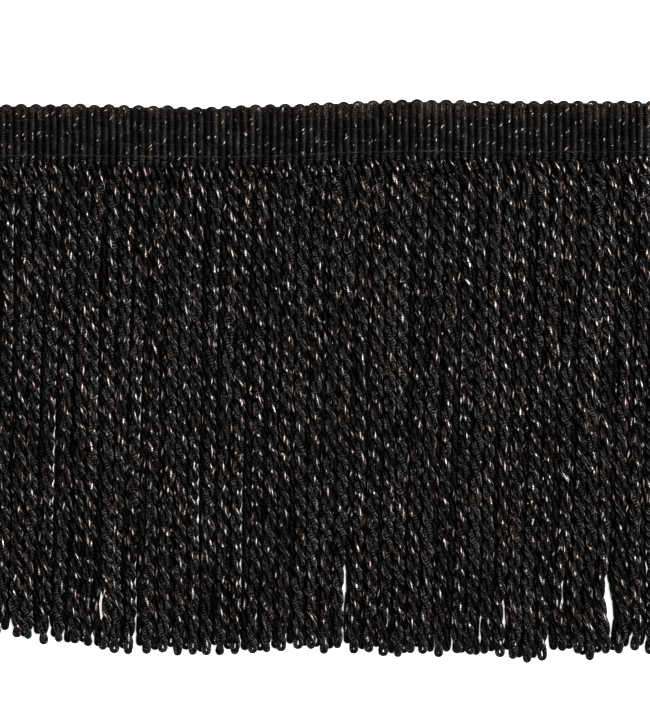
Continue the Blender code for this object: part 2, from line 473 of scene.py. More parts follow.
class Weft:
    """The weft of one layer: the paths of its turns and their half sizes."""

    def __init__(self, layer):
        self.layer = layer
        draw = random.Random(layer["seed"])
        turns = RIB_COUNT // 2 - layer["first"]
        first_x = (layer["first"] + 0.5) * RIB_PITCH - CUT_LENGTH / 2
        made = [self.turn_over(first_x + turn * CORD_PITCH, draw) for turn in range(turns)]
        self.path = np.stack([path for path, _, _ in made])
        self.half_out = np.stack([out for _, out, _ in made])
        self.half_across = np.stack([across for _, _, across in made])

    def turn_over(self, left_x, draw):
        """Up the rib at left_x, over the scallop and down the next rib."""
        middle = left_x + TURN_RADIUS
        top = float(between(TOP_LINE, middle)) + SCALLOP_FLUFF
        away = min(1, abs(middle - FLAT_SCALLOPS["x"]) / FLAT_SCALLOPS["half"])
        sink = FLAT_SCALLOPS["sink"] * math.cos(math.pi * away / 2) ** 2 * draw.uniform(*SINK_SHARES)
        uneven = draw.uniform(-SCALLOP_UNEVEN, SCALLOP_UNEVEN)
        outermost = top - self.layer["drop"] - sink + uneven
        turn_y = outermost - TURN_RADIUS - TURN_HALF_WIDTH
        climb = rib_heights(top - SCALLOP_FLUFF, turn_y)
        angle = np.linspace(math.pi, 0, TURN_RINGS + 2)[1:-1]
        spread = TURN_RADIUS * draw.uniform(*TURN_SPREADS)
        x = np.concatenate([
            np.full(len(climb), -TURN_RADIUS),
            spread * np.cos(angle),
            np.full(len(climb), TURN_RADIUS),
        ])
        y = np.concatenate([climb, turn_y + TURN_RADIUS * np.sin(angle), climb[::-1]])
        wander = np.sin(y * draw.uniform(*RIB_WANDER_WAVES) + draw.uniform(*ANY_PHASE))
        x = middle + x + RIB_WANDER * wander
        z = self.layer["z"] + RIB_RISE * np.sin(y * RIB_RISE_WAVE + draw.uniform(*ANY_PHASE))
        bend = np.clip((y - turn_y + TURN_BLEND) / TURN_BLEND, 0, 1)
        keep = pinched(y, top - SCALLOP_FLUFF)
        out = (RIB_HALF_HEIGHT + (TURN_HALF_HEIGHT - RIB_HALF_HEIGHT) * bend) * keep
        across = RIB_HALF_WIDTH + (TURN_HALF_WIDTH - RIB_HALF_WIDTH) * bend
        z = np.maximum(z, out + FLOOR_CLEARANCE)
        return np.stack([x, y, z], -1), out, across

    def cut_rib(self, x):
        """A rib at the cut, where only one leg of the turn is left."""
        top = float(between(TOP_LINE, x))
        y = rib_heights(top, top - TURN_RADIUS)
        out = RIB_HALF_HEIGHT * pinched(y, top)
        z = np.maximum(self.layer["z"], out + FLOOR_CLEARANCE)
        return np.stack([np.full_like(y, x), y, z], -1), out, np.full_like(y, RIB_HALF_WIDTH)


heading_black = satin_black("heading_yarn", RIB_BLACK, RIB_WRAPPING, RIB_LAYERS, RIB_SHINE)
wefts = []
for layer in WEFTS:
    weft = Weft(layer)
    skein = Skein()
    rings = rings_round(weft.path, UPWARD, weft.half_out, weft.half_across, RIB_SIDES)
    skein.add(rings, distances(weft.path))
    cut_sides = (-1, 1) if layer["first"] else ()
    for side in cut_sides:
        cut_rib = weft.cut_rib(side * (CUT_LENGTH - RIB_PITCH) / 2)
        path, out, across = (part[None] for part in cut_rib)
        skein.add(rings_round(path, UPWARD, out, across, RIB_SIDES), distances(path))
    skein.piece("heading_weft_" + layer["name"], heading_black, "heading")
    wefts.append(weft)


# The heading's ground is a thin tape of fine black warp between the two
# wefts. It is woven in one with them, and its lower edge holds the roots.
WEB_TOP = 1.2
WEB_BOTTOM = 18.0
WEB_THICKNESS = 0.2
WEB_HEIGHT = 1.2
WEB_ROWS = 7
WEB_RIPPLE = 0.05
WARP_PITCH = 0.4
WARP_FIBRES = 3000.0
WARP_WOBBLE = 0.6
WARP_DEPTH = 0.05
WARP_BLACK = (0.004, 0.0036, 0.0035, 1)
WARP_ROUGHNESS = (0.5, 0.7)


def warp_black(name):
    """Fine warp side by side, crossed at each rib."""
    material, shader, dye = new_dye(name, YARN_SPECULAR)
    _, across = dye.lay()
    fibres = dye.place().noise(WARP_FIBRES)
    # Painted shade in the grooves between the warp threads.
    warp = (across / WARP_PITCH + fibres * WARP_WOBBLE).ridges()
    soak(shader, {
        "Base Color": warp.mixed(PAINTED_SHADE_BLACK, WARP_BLACK),
        "Roughness": fibres.roughness(*WARP_ROUGHNESS),
        "Normal": (warp * WARP_DEPTH).raised(MM),
    })
    return material


columns = np.linspace(-CUT_LENGTH / 2, CUT_LENGTH / 2, RIB_COUNT + 1)
down = np.linspace(WEB_TOP, WEB_BOTTOM, WEB_ROWS)
side_x, side_down = np.meshgrid(columns, down, indexing="ij")
side_y = between(TOP_LINE, side_x) - side_down
rise = WEB_HEIGHT + WEB_RIPPLE * np.sin(side_x * math.pi / RIB_PITCH)
layers = [
    np.stack([side_x, side_y, rise + sign * WEB_THICKNESS / 2], -1).reshape(-1, 3)
    for sign in (1, -1)
]
web_mesh = bpy.data.meshes.new("heading_web")
here = np.arange(RIB_COUNT * WEB_ROWS).reshape(RIB_COUNT, WEB_ROWS)[:, :-1]
upper = np.stack([here, here + 1, here + WEB_ROWS + 1, here + WEB_ROWS], -1).reshape(-1, 4)
lower = upper[:, ::-1] + len(layers[0])
count = (RIB_COUNT + 1) * WEB_ROWS
along_ends = [np.arange(WEB_ROWS), np.arange(count - 1, count - 1 - WEB_ROWS, -1)]
along_sides = [
    np.arange(count - WEB_ROWS, -1, -WEB_ROWS),
    np.arange(WEB_ROWS - 1, count, WEB_ROWS),
]
rim = [
    (a, b, b + count, a + count)
    for line in along_ends + along_sides
    for a, b in zip(line[1:].tolist(), line[:-1].tolist())
]
faces = upper.tolist() + lower.tolist() + rim
web_mesh.from_pydata((np.concatenate(layers) * MM).tolist(), [], faces)
lay = web_mesh.uv_layers.new(name="lay")
corner_of = np.empty(len(web_mesh.loops), int)
web_mesh.loops.foreach_get("vertex_index", corner_of)
flat = np.stack([side_x.ravel(), side_down.ravel()], -1)
lay.data.foreach_set("uv", flat[corner_of % count].astype(np.float32).ravel())
web_mesh.materials.append(warp_black("warp"))
web = bpy.data.objects.new("heading_web", web_mesh)
bpy.context.scene.collection.objects.link(web)
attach(web, "root")
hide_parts("heading")


# Four rows of fine thread run along each face of the heading and bind the
# ribs down, the lowest of them close above the cords. They dip between ribs.
THREAD_RADII = (0.045, 0.045, 0.045, 0.12)
THREAD_SIDES = 5
THREAD_RINGS_PER_RIB = 5
THREAD_DIP = 0.42
THREAD_RISE = 0.3
THREAD_WANDER = 0.10
THREAD_WANDER_WAVE = 1.9
THREAD_QUIVER = 0.06
THREAD_QUIVER_WAVE = 5.3
THREAD_BLACK = (0.07, 0.068, 0.067, 1)
THREAD_WRAPPING = (0.0, 0.0)
# The threads' painted light where they face up, with painted shade on their flanks.
THREAD_SHINE = {
    "lean": 0.0, "from": 0.0, "full": 1.0, "painted_flank_light": 0.4, "flank_lean": 0.0,
    "hollow": 0.1, "smooth": 1.0, "edge": 0.0, "near_top": 0.0, "tufts": 0.3, "uneven": 0.0,
}


def stitch_row(depth, radius, face):
    """A thread over the ribs' crests: face is 1 on the front, -1 behind."""
    layer = WEFTS[0] if face > 0 else WEFTS[1]
    x = np.linspace(-CUT_LENGTH / 2, CUT_LENGTH / 2, RIB_COUNT * THREAD_RINGS_PER_RIB + 1)
    over_rib = np.abs(np.sin(math.pi * x / RIB_PITCH))
    crest = RIB_HALF_HEIGHT * (1 - STITCH_PINCH) + radius * THREAD_RISE
    z = layer["z"] + face * (crest - THREAD_DIP * (1 - over_rib) ** 2)
    z = np.maximum(z, radius)
    y = between(TOP_LINE, x) - depth + THREAD_WANDER * np.sin(x * THREAD_WANDER_WAVE + depth)
    y = y + THREAD_QUIVER * np.sin(x * THREAD_QUIVER_WAVE)
    return np.stack([x, y, z], -1)[None]


skein = Skein()
for face in (1, -1):
    for depth, radius in zip(STITCH_ROWS, THREAD_RADII):
        skein.add_round(stitch_row(depth, radius, face), radius, THREAD_SIDES)
thread_black = satin_black("thread", THREAD_BLACK, THREAD_WRAPPING, RIB_LAYERS, THREAD_SHINE)
skein.piece("heading_stitches", thread_black, "heading")


# The cords are the same yarn. Two legs of the weft, from neighbouring ribs,
# are twisted into a rope that closes in a loop at its foot. The front row
# lies in the hollows of the back row, and both go a little to the left.
ROPE_LEAD = 9.9
LEAD_SHARES = (0.93, 1.07)
ROPE_DIAMETER = 3.0
TWIST_RADIUS = 0.75
TWIST_START = 1.0
FIRST_TURN_SPREAD = 1.3
DRIFTS = (0.4, 1.3)
DRIFT_ALONG = 21
OWN_TURN_RAMP = 12
PLY_HALF_OUT = 0.75
PLY_HALF_ACROSS = 0.97
PLY_THICKNESSES = (0.96, 1.04)
SLUB = 0.03
SLUB_ALONG = 3.1
LOOP_HALF = 0.62
LOOP_RADII = (0.52, 0.82)
LOOP_OPENING = 4.0
LUREX_LAG_SPREAD = 0.4
PLY_SIDES = 9
RINGS_PER_LEAD = 11
LOOP_RINGS = 7
LEG_LENGTH = 2.6
LEG_TUCK = 0.04
CLOSING = 5.0
FLATTENING = 25.0
FLATTENED = (0.3, 1.0)
STRIP_DROP = 1.8
SETTLING_START = 1
REST_BACK = 1.53
HALF_GAPS = (1.5, 2.3)
NEST_LIFT = 0.10
NEST_WAVE = 0.10
NEST_ALONG = 13
CORD_BLACK = (0.0885, 0.088, 0.0878, 1)
CORD_WRAPPING = (0.85, 1.0)
# The cords' painted shade, strongest midway between the two rows' faces and lifted near the roots.
CORD_LAYERS = {"middle": 2.6, "reach": 2.4, "painted_deep_shade": 0.08, "root": 0.8}
# The cords' painted highlight on the plies' tops, leaning right, and a strong painted sheen at their
# side edges.
CORD_SHINE = {
    "lean": 0.12, "from": 0.60, "full": 0.90, "painted_flank_light": 0.01, "flank_lean": 0.0,
    "hollow": 0.005, "smooth": 0.02, "edge": 1.0, "near_top": 0.0, "tufts": 0.07, "uneven": 0.0,
}

# In the hem's line and the partings, x is where the cords are rooted, and y
# is where they end or part.
HEM_LINE = (
    {"x": -96, "y": -70.0},
    {"x": -86, "y": -70.4},
    {"x": -67, "y": -72.6},
    {"x": -48, "y": -74.5},
    {"x": 2, "y": -74.0},
    {"x": 27, "y": -75.1},
    {"x": 48, "y": -75.4},
    {"x": 54, "y": -76.7},
    {"x": 60, "y": -76.0},
    {"x": 66, "y": -74.0},
    {"x": 72, "y": -75.8},
    {"x": 78, "y": -74.0},
    {"x": 96, "y": -74.2},
)
PARTINGS = (
    {"x": -85, "y": -67, "half": 8, "open": 1.0, "lean": 0.00},
    {"x": -74.5, "y": -67, "half": 6, "open": 0.3, "lean": 0.00},
    {"x": -60.5, "y": -61.5, "half": 10, "open": 0.9, "lean": 0.00},
    {"x": -18, "y": -63, "half": 7, "open": 0.12, "lean": 0.00},
    {"x": 5, "y": -55.5, "half": 10, "open": 0.45, "lean": 0.00},
    {"x": 17, "y": -63, "half": 8, "open": 0.05, "lean": 0.00},
    {"x": 43.4, "y": -68, "half": 8, "open": 0.2, "lean": 0.00},
    {"x": 48.5, "y": -64, "half": 14, "open": 0.6, "lean": 0.00},
    {"x": 62, "y": -71.5, "half": 7, "open": 0.8, "lean": 0.07},
    {"x": 65, "y": -57, "half": 14, "open": 0.55, "lean": 0.00},
    {"x": 77.5, "y": -60.5, "half": 14, "open": 1.7, "lean": 0.19},
    {"x": 86.3, "y": -50.5, "half": 8, "open": -0.2, "lean": 0.07},
)
PARTING_REACH = 10.0
WANDERS = (0.11, 0.28)
WANDER_WAVES = (55, 95)
LEAN = 0.0255
SWAY = 0.4
SWAY_ACROSS = 17
SWAY_ALONG = 60
SHORTNESS_POWER = 1.6
CROWDING = (
    {"reach": 0.30, "across": 2.2, "along": 41, "phase": 1.3},
    {"reach": 0.42, "across": 4.3, "along": -57, "phase": 0.4},
)
CROWDING_RAMP = 18.0
ASIDE_MIX = 3
ROWS = (
    {"name": "front_cords", "count": 47, "first": 2 * RIB_PITCH, "root_z": 1.74,
     "settling": 8.0, "spread": 1.0, "least": 0.0, "most": 1.6, "aside": 0.24, "seed": 100},
    {"name": "back_cords", "count": 48, "first": RIB_PITCH, "root_z": 0.66,
     "settling": 4.0, "spread": 1.3, "least": 0.6, "most": 3.4, "aside": 0.0, "seed": 500},
)


def smooth(share):
    """A share held from 0 to 1 and eased at both ends."""
    share = np.clip(share, 0, 1)
    return share * share * (3 - 2 * share)


def leaned(along):
    """The fringe lies askew: its cords go to the left as they go down."""
    return -LEAN * np.maximum(along, 0)


def shifted(root_x, y, along):
    """How far the cords rooted at root_x stand aside at a height: the
    partings push them, and between partings they crowd and thin out."""
    overlap = ROPE_DIAMETER - RIB_PITCH
    push = np.zeros_like(y)
    held = np.zeros_like(y)
    for parting in PARTINGS:
        away = np.clip((y - parting["y"]) / parting["half"], -1, 1)
        fade = math.exp(-abs(root_x - parting["x"]) / PARTING_REACH)
        strength = np.cos(math.pi * away / 2) ** 2 * fade
        side = math.copysign(1, root_x - parting["x"])
        push += side * (parting["open"] + overlap) / 2 * strength
        push += parting["lean"] * (parting["y"] - y) * strength
        held = np.maximum(held, strength)
    crowd = sum(
        wave["reach"] * np.sin(root_x / wave["across"] + along / wave["along"] + wave["phase"])
        for wave in CROWDING
    )
    ramp = np.clip(along / CROWDING_RAMP, 0, 1)
    return push + crowd * ramp * (1 - held)


class Cord:
    """One bullion cord: its middle line and the two plies that go round it."""

    def __init__(self, row, index):
        draw = random.Random(row["seed"] + index)
        self.phase = draw.uniform(0, 2 * math.pi)
        self.aside = row["aside"] * math.sin(ASIDE_MIX * self.phase)
        self.wave = draw.uniform(*WANDER_WAVES)
        self.swing = draw.uniform(*WANDERS)
        shortness = draw.uniform(0, 1) ** SHORTNESS_POWER
        self.row = row
        self.root_x = row["first"] + index * CORD_PITCH - CUT_LENGTH / 2
        self.root_y = float(between(TOP_LINE, self.root_x)) - HEADING_DEPTH - STRIP_DROP
        short = row["least"] + (row["most"] - row["least"]) * shortness
        self.length = self.root_y - float(between(HEM_LINE, self.root_x)) - short
        self.lead = ROPE_LEAD * draw.uniform(*LEAD_SHARES)
        self.drift = draw.uniform(*DRIFTS)
        self.drift_phase = draw.uniform(0, 2 * math.pi)
        self.first_turn = draw.gauss(0.0, FIRST_TURN_SPREAD)
        self.thickness = draw.uniform(*PLY_THICKNESSES)
        self.slub_phase = draw.uniform(0, 2 * math.pi)
        self.loop_radius = draw.uniform(*LOOP_RADII)
        self.rise_phase = draw.uniform(0, 2 * math.pi)
        self.lurex_lag = draw.gauss(0, LUREX_LAG_SPREAD)
        self.draw = draw
        self.loop_start = self.length - self.loop_radius - LOOP_HALF
        self.flatten = 0.0
        leftover = (float(self.turn(self.loop_start)) + math.pi / 2) % math.pi - math.pi / 2
        self.flatten = -leftover * draw.uniform(*FLATTENED)

    def middle(self, along):
        """The rope's middle line."""
        share = np.clip(along / self.length, 0, 1)
        turn = 2 * math.pi * along / self.wave + self.phase
        wander = self.swing * np.sin(turn) * np.sqrt(share)
        sway = SWAY * np.sin(self.root_x / SWAY_ACROSS + along / SWAY_ALONG) * share
        aside = self.aside * np.clip(along / CROWDING_RAMP, 0, 1)
        y = self.root_y - along
        x = self.root_x + wander + sway + aside + leaned(along) + shifted(self.root_x, y, along)
        settled = smooth((along + SETTLING_START) / self.row["settling"])
        z = self.row["root_z"] + (self.rest(y, along) - self.row["root_z"]) * settled
        return np.stack([x, y, z], -1)

    def rest(self, y, along):
        """How high the rope's middle lies once it has left the heading."""
        if self.row["name"] == "back_cords":
            return np.full_like(y, REST_BACK)
        left = shifted(self.root_x - RIB_PITCH, y, along)
        right = shifted(self.root_x + RIB_PITCH, y, along)
        half_gap = np.clip(RIB_PITCH + (right - left) / 2, *HALF_GAPS)
        nested = REST_BACK + np.sqrt(ROPE_DIAMETER ** 2 - half_gap ** 2)
        return nested + NEST_LIFT + NEST_WAVE * np.sin(along / NEST_ALONG + self.rise_phase)

    def turn(self, along):
        """The angle of the first ply about the middle line."""
        drifted = np.sin(along / DRIFT_ALONG + self.drift_phase) - math.sin(self.drift_phase)
        own = (self.first_turn + self.drift * drifted) * np.clip(along / OWN_TURN_RAMP, 0, 1)
        lie_flat = self.flatten * np.clip(1 - (self.loop_start - along) / FLATTENING, 0, 1)
        return own + lie_flat - 2 * math.pi * np.maximum(along + TWIST_START, 0) / self.lead

    def closed(self, along):
        """0 where the legs leave their ribs, 1 where they are a rope."""
        return smooth((along + LEG_LENGTH) / (LEG_LENGTH + CLOSING))

    def looped(self, along):
        """0 along the rope, rising to 1 at the loop."""
        return np.clip(1 - (self.loop_start - along) / LOOP_OPENING, 0, 1) ** 2

    def ply(self, along, which):
        """The middle line of ply 0 or 1 and the way outward from the rope.
        Where the ply would sink into the surface it lies on it."""
        angle = self.turn(along) + math.pi * which
        outward = np.stack([np.cos(angle), np.zeros_like(along), np.sin(angle)], -1)
        reach = TURN_RADIUS + (TWIST_RADIUS - TURN_RADIUS) * self.closed(along)
        reach = reach + (self.loop_radius - TWIST_RADIUS) * self.looped(along)
        path = self.middle(along) + reach[..., None] * outward
        out, across = self.halves(along)
        half_height = np.hypot(out * np.sin(angle), across * np.cos(angle))
        path[..., 2] = np.maximum(path[..., 2], half_height + FLOOR_CLEARANCE)
        return path, outward

    def halves(self, along):
        """Half sizes of a ply's oval section, outward and across."""
        closed = self.closed(along)
        looped = self.looped(along)
        slub = self.thickness * (1 + SLUB * np.sin(along / SLUB_ALONG + self.slub_phase))
        ends = (
            (RIB_HALF_WIDTH - LEG_TUCK, PLY_HALF_OUT * slub),
            (RIB_HALF_HEIGHT - LEG_TUCK, PLY_HALF_ACROSS * slub * self.row["spread"]),
        )
        out, across = (
            leg + (full - leg) * closed + (LOOP_HALF - full) * looped
            for leg, full in ends
        )
        return out, across

    def laid(self, count):
        """Down one ply, round the loop and back up the other."""
        down = np.linspace(-LEG_LENGTH, self.loop_start, count)
        first, first_out = self.ply(down, 0)
        second, second_out = self.ply(down, 1)
        centre = self.middle(np.array([self.loop_start]))
        swing = np.linspace(0, math.pi, LOOP_RINGS + 2)[1:-1, None]
        loop_out = first_out[-1] * np.cos(swing) + np.array([0, -1, 0]) * np.sin(swing)
        loop = centre + self.loop_radius * loop_out
        out, across = self.halves(down)
        plain = np.full(LOOP_RINGS, LOOP_HALF)
        path = np.concatenate([first, loop, second[::-1]])
        outward = np.concatenate([first_out, loop_out, second_out[::-1]])
        out, across = (np.concatenate([half, plain, half[::-1]]) for half in (out, across))
        return path, outward, out, across


cord_black = satin_black("cord_yarn", CORD_BLACK, CORD_WRAPPING, CORD_LAYERS, CORD_SHINE)
cord_rows = []
for row in ROWS:
    cords = [Cord(row, index) for index in range(row["count"])]
    longest = max(cord.length for cord in cords) + LEG_LENGTH
    ring_count = round(longest / ROPE_LEAD * RINGS_PER_LEAD) + 1
    middle = len(cords) // 2
    for side, group in (("left", cords[:middle]), ("right", cords[middle:])):
        laid = zip(*(cord.laid(ring_count) for cord in group))
        path, outward, out, across = (np.stack(part) for part in laid)
        skein = Skein()
        skein.add(rings_round(path, outward, out, across, PLY_SIDES), distances(path))
        skein.piece(row["name"] + "_" + side, cord_black, row["name"])
    cord_rows.append(cords)


# Copper lurex, a slit metallic film, is wound round the yarn with the
# filament. It shows as a short fleck wherever its turn comes to the outside,
# along the rope's length on the cords and slanting on the ribs.
LUREX_SPECULAR = 0.5
LUREX_TONE = 420.0
LUREX_GRAIN = 3500.0
LUREX_WOBBLE = 0.8
LUREX_ROUGHNESS = (0.42, 0.62)
LUREX_WRAP_DEPTH = 0.06
LUREX_GRAIN_DEPTH = 0.03
BESIDE_CREST = 6.4
BESIDE_UNEVEN = 1.4
# The film's painted highlight, its copper and its painted shade at the edges, each plain and rich,
# then its painted shade in the back row and in the wraps' grooves.
HIGHLIGHT_FILM = ((0.84, 0.785, 0.75, 1), (0.90, 0.765, 0.70, 1))
BROWN_FILM = ((0.155, 0.100, 0.083, 1), (0.22, 0.102, 0.070, 1))
EDGE_SHADE_FILM = ((0.036, 0.020, 0.015, 1), (0.050, 0.021, 0.0135, 1))
BACK_ROW_SHADE_FILM = (0.02, 0.009, 0.006, 1)
GROOVE_SHADE_FILM = (0.05, 0.03, 0.025, 1)
BACK_ROW_SHADE_SHARE = 0.45
FILM_RANGES = {"brown": (0.7, 1.35), "dark": (1.1, 1.6), "faces": (0.15, 0.6), "ridges": (0.5, 1.1)}

FLECK_RINGS = 4
FLECK_TIP = 1.02
FLECK_CREST = 0.11
FLECK_ROOT = 0.3
FLECK_BEND = 0.9
FLECK_EDGE = 0.01
FLECK_CLEARANCE = 0.01
CORD_FLECK_HALF_LENGTH = (0.32, 1.7)
CORD_FLECK_HALF_WIDTH = (0.37, 0.76)
CORD_FLECK_SHARES = (0.95, 0.76)
CORD_FLECK_STEP = 1.1
CORD_FLECK_STEP_SHARES = (0.7, 1.8)
CORD_FLECK_SIDEWAYS = 0.35
CORD_FLECK_START = 1.0
CORD_FLECK_END = 0.5
PLY_LAG_SPREAD = 0.15
CROSSING_SPREAD = 0.2
CROSSING_STEPS = 500
LOOP_BARE = 1.0
HEM_REACH = 7.0
HEM_SHARE = 0.45
PLENTY = 0.45
PLENTY_ALONG = 14
PLENTY_MIX = 5
LUREX_WINDING = (PLY_HALF_OUT + TWIST_RADIUS) / PLY_HALF_ACROSS
LUREX_WINDING_SPREAD = 0.45
LEG_FLECK_SHARE = 0.45
LEG_FLECK_PLACES = (-1.3, 0.8)
LEG_FLECK_HALF_LENGTH = (0.4, 0.9)
LEG_FLECK_HALF_WIDTH = (0.32, 0.54)
LEG_FLECK_TURN = (0.2, 0.3)
LEG_FLECK_WINDING = 0.6
RIB_FLECK_STEP = 5.6
RIB_FLECK_END = 0.6
RIB_FLECK_SLIP = 0.5
RIB_FLECK_TURN = (-0.2, 0.3)
RIB_FLECK_WINDINGS = (0.0, 1.3)
RIB_FLECK_HALF_LENGTH = (0.14, 0.75)
RIB_FLECK_HALF_WIDTH = (0.17, 0.42)
RIB_FLECK_SHARE = 0.85
RIB_FLECK_TWINS = 0.3
RIB_FLECK_SEED = 50
RIB_TWIN_STEPS = (0.6, 1.2)


def copper_lurex():
    """Metallic film with a painted highlight, pale, along its crest, brown
    copper beside it and painted shade at its edges, and redder all over where
    the copper lies thick. Painted shade darkens it in the back row and in the
    grooves of its wraps."""
    material, shader, dye = new_dye("lurex", LUREX_SPECULAR)
    along, turn = dye.lay()
    place = dye.place()
    tone = place.noise(LUREX_TONE)
    grain = place.noise(LUREX_GRAIN)
    # Painted shade in the grooves of the wraps.
    wraps = (along / WRAP_PITCH + grain * LUREX_WOBBLE).ridges()
    # A painted highlight along the crest, copper beside it and painted shade at the edges.
    away = (turn - CREST_TURN).size() * BESIDE_CREST + tone * BESIDE_UNEVEN
    rich = place.coppered()
    pale, brown, dark = (rich.mixed(*film) for film in (HIGHLIGHT_FILM, BROWN_FILM, EDGE_SHADE_FILM))
    copper = away.eased(*FILM_RANGES["brown"]).mixed(pale, brown)
    bright = away.eased(*FILM_RANGES["dark"]).mixed(copper, dark)
    # Painted shade on the film in the back row, lifted near the roots.
    near_face = place.from_middle(CORD_LAYERS)
    clear_of_shade = near_face.at_least((place.part(1) / MM).eased(*ROOT_HEIGHTS))
    film = clear_of_shade.eased(*FILM_RANGES["faces"], BACK_ROW_SHADE_SHARE, 1.0).mixed(BACK_ROW_SHADE_FILM, bright)
    soak(shader, {
        "Base Color": (wraps + tone).eased(*FILM_RANGES["ridges"]).mixed(GROOVE_SHADE_FILM, film),
        "Roughness": grain.roughness(*LUREX_ROUGHNESS),
        "Metallic": 1.0,
        "Normal": (wraps * LUREX_WRAP_DEPTH + grain * LUREX_GRAIN_DEPTH).raised(MM),
    })
    return material


def flecks(skein, centre, outward, half_out, half_across, turn, half_width):
    """Adds flecks that lie on oval yarn: turn is how far round from outward
    each ring of a fleck is."""
    ahead = unit(np.gradient(centre, axis=-2))
    outward = unit(outward - (outward * ahead).sum(-1, keepdims=True) * ahead)
    across = np.cross(outward, ahead)
    outward = outward * np.cos(turn)[..., None]
    across = across * np.sin(turn)[..., None]
    surface = centre + outward * half_out[..., None] + across * half_across[..., None]
    up = unit(outward / half_out[..., None] + across / half_across[..., None])
    onward = unit(np.gradient(surface, axis=-2))
    wide = unit(np.cross(up, onward))
    taper = np.sqrt(FLECK_TIP - np.linspace(-1, 1, FLECK_RINGS) ** 2)
    reach = wide * (half_width[:, None] * taper)[..., None]
    sag = (half_width[:, None] * taper) ** 2 / (2 * FLECK_BEND)
    low = surface - up * (FLECK_EDGE + sag)[..., None]
    crest = surface + up * (FLECK_CREST * taper)[:, None]
    root = surface - up * FLECK_ROOT
    rings = np.stack([low + reach, crest, low - reach, root], -2)
    rings[..., 2] = np.maximum(rings[..., 2], FLECK_CLEARANCE)
    skein.add(rings, distances(surface))


def rib_flecks(weft, skein):
    """Flecks at each half winding of a rib's film, on its front and its back
    in turn, and now and then two close together."""
    draw = random.Random(weft.layer["seed"] + RIB_FLECK_SEED)
    along = distances(weft.path)
    for path, out, across, lay in zip(weft.path, weft.half_out, weft.half_across, along):
        start = draw.uniform(0, RIB_FLECK_STEP / 2)
        middles = np.arange(start, lay[-1] - RIB_FLECK_END, RIB_FLECK_STEP / 2)
        sides = (np.arange(len(middles)) + draw.randrange(2)) % 2
        rows = []
        for middle, under in zip(middles, sides):
            if draw.random() > RIB_FLECK_SHARE:
                continue
            for twin in range(2 if draw.random() < RIB_FLECK_TWINS else 1):
                beside = twin * draw.uniform(*RIB_TWIN_STEPS)
                rows.append((
                    middle + beside + draw.uniform(-RIB_FLECK_SLIP, RIB_FLECK_SLIP),
                    under * math.pi + draw.gauss(*RIB_FLECK_TURN),
                    draw.triangular(*RIB_FLECK_HALF_LENGTH, RIB_FLECK_HALF_LENGTH[0]),
                    draw.uniform(*RIB_FLECK_HALF_WIDTH),
                    draw.uniform(*RIB_FLECK_WINDINGS),
                ))
        if not rows:
            continue
        middle, offset, half, wide, winding = (np.array(column)[:, None] for column in zip(*rows))
        middle = np.clip(middle, half, lay[-1] - half)
        place = middle + half * np.linspace(-1, 1, FLECK_RINGS)
        centre = np.stack([np.interp(place, lay, path[:, axis]) for axis in range(3)], -1)
        turn = offset - winding * 2 * math.pi * (place - middle) / RIB_FLECK_STEP
        flecks(
            skein, centre, np.broadcast_to(UPWARD, centre.shape),
            np.interp(place, lay, out), np.interp(place, lay, across), turn, wide[:, 0],
        )


def cord_flecks(cord, skein):
    """Flecks each time a ply comes round to the top or to the underside: one
    there, and often a second close before or after it. Some stretches of a
    cord have more of them, and its hem has fewer."""
    fine = np.linspace(CORD_FLECK_START, cord.loop_start - CORD_FLECK_END, CROSSING_STEPS)
    draw = cord.draw
    for which in (0, 1):
        ply_turn = cord.turn(fine) + math.pi * which
        lag = cord.lurex_lag + draw.gauss(0, PLY_LAG_SPREAD)
        first = math.ceil((ply_turn[-1] - lag) / math.pi - 0.5)
        last = math.floor((ply_turn[0] - lag) / math.pi - 0.5)
        rows = []
        for number in range(first, last + 1):
            wanted = (number + 0.5) * math.pi + lag + draw.gauss(0, CROSSING_SPREAD)
            crossing = np.interp(-wanted, -ply_turn, fine)
            plenty = 1 + PLENTY * math.sin(crossing / PLENTY_ALONG + PLENTY_MIX * cord.phase)
            for share, step in zip(CORD_FLECK_SHARES, (0, draw.choice((-1, 1)) * CORD_FLECK_STEP)):
                half = draw.triangular(*CORD_FLECK_HALF_LENGTH, CORD_FLECK_HALF_LENGTH[0])
                middle = crossing + step * draw.uniform(*CORD_FLECK_STEP_SHARES)
                if middle > cord.loop_start - HEM_REACH:
                    share = share * HEM_SHARE
                in_loop = middle + half > cord.loop_start - LOOP_BARE
                if draw.random() > share * plenty or in_loop:
                    continue
                rows.append((
                    middle,
                    half,
                    draw.uniform(*CORD_FLECK_HALF_WIDTH),
                    draw.gauss(0, CORD_FLECK_SIDEWAYS),
                    draw.gauss(LUREX_WINDING, LUREX_WINDING_SPREAD),
                ))
        if draw.random() < LEG_FLECK_SHARE:
            middle = draw.uniform(*LEG_FLECK_PLACES)
            upward = float(cord.turn(np.array(middle))) + math.pi * which - math.pi / 2
            rows.append((
                middle,
                draw.uniform(*LEG_FLECK_HALF_LENGTH),
                draw.uniform(*LEG_FLECK_HALF_WIDTH),
                upward + draw.gauss(*LEG_FLECK_TURN),
                LEG_FLECK_WINDING,
            ))
        if not rows:
            continue
        middle, half, wide, offset, winding = (np.array(column)[:, None] for column in zip(*rows))
        place = middle + half * np.linspace(-1, 1, FLECK_RINGS)
        centre, outward = cord.ply(place, which)
        out, across = cord.halves(place)
        turn = winding * (cord.turn(place) - cord.turn(middle)) + offset
        flecks(skein, centre, outward, out, across, turn, wide[:, 0])


lurex = copper_lurex()
skein = Skein()
for weft in wefts:
    rib_flecks(weft, skein)
skein.piece("heading_lurex", lurex, "heading")
for row, cords in zip(ROWS, cord_rows):
    skein = Skein()
    for cord in cords:
        cord_flecks(cord, skein)
    skein.piece(row["name"] + "_lurex", lurex, row["name"])


